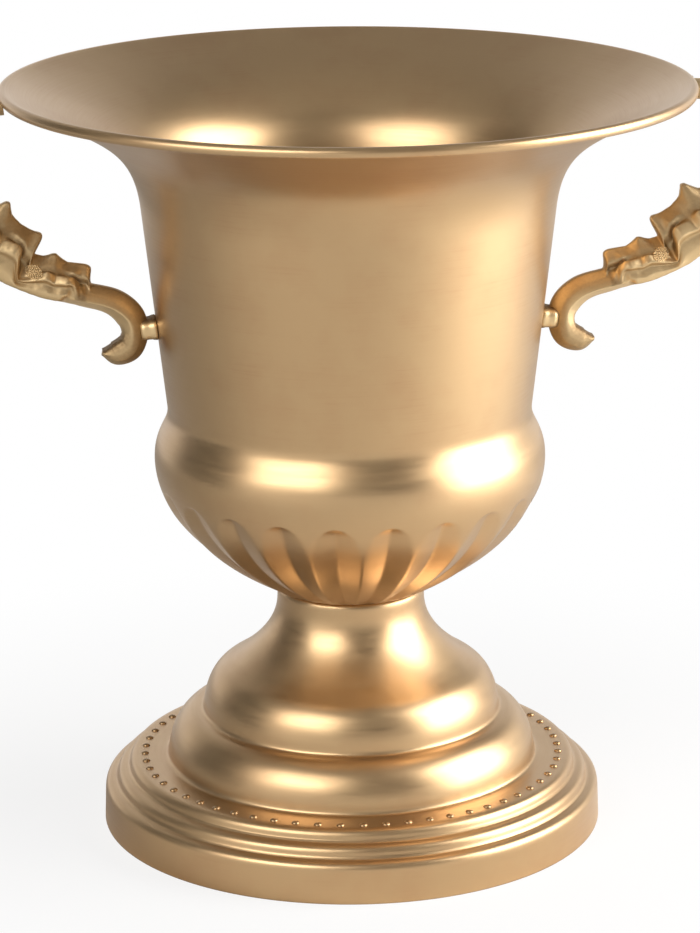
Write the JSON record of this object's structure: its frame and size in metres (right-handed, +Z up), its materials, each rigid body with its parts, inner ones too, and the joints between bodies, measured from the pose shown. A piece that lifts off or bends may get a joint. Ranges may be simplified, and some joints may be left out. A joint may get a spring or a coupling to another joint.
{
  "type": "metal vase",
  "caption": "Footed urn-shaped metal vase with a flared mouth, a fluted underside, a beaded stepped foot and cast leaf handles, for holding cut or dried stems.",
  "frame": {"origin": "middle of the face that the foot stands on, on the axis of the bowl and foot", "axes": "+Z up the axis from the foot to the mouth; +X to the right handle, -X to the left handle; +Y across the handles, to the back"},
  "size_m": [0.275, 0.2198, 0.2439],
  "materials": {
    "spun_brass": "spun, brushed round the axis to a satin, pale gold lacquer",
    "cast_brass": "cast, polished on the high spots, darker in the folds",
    "zinc_steel": "zinc plated",
    "seal_rubber": "matt black"
  },
  "bodies": {
    "root": {"bowl": "spun_brass", "foot": "spun_brass", "right_handle": "cast_brass", "left_handle": "cast_brass", "foot_bolt": "zinc_steel", "bowl_washer": "zinc_steel", "foot_washer": "zinc_steel", "foot_nut": "zinc_steel", "right_handle_screw": "zinc_steel", "left_handle_screw": "zinc_steel", "bowl_seal": "seal_rubber", "right_screw_seal": "seal_rubber", "left_screw_seal": "seal_rubber"}
  },
  "joints": []
}
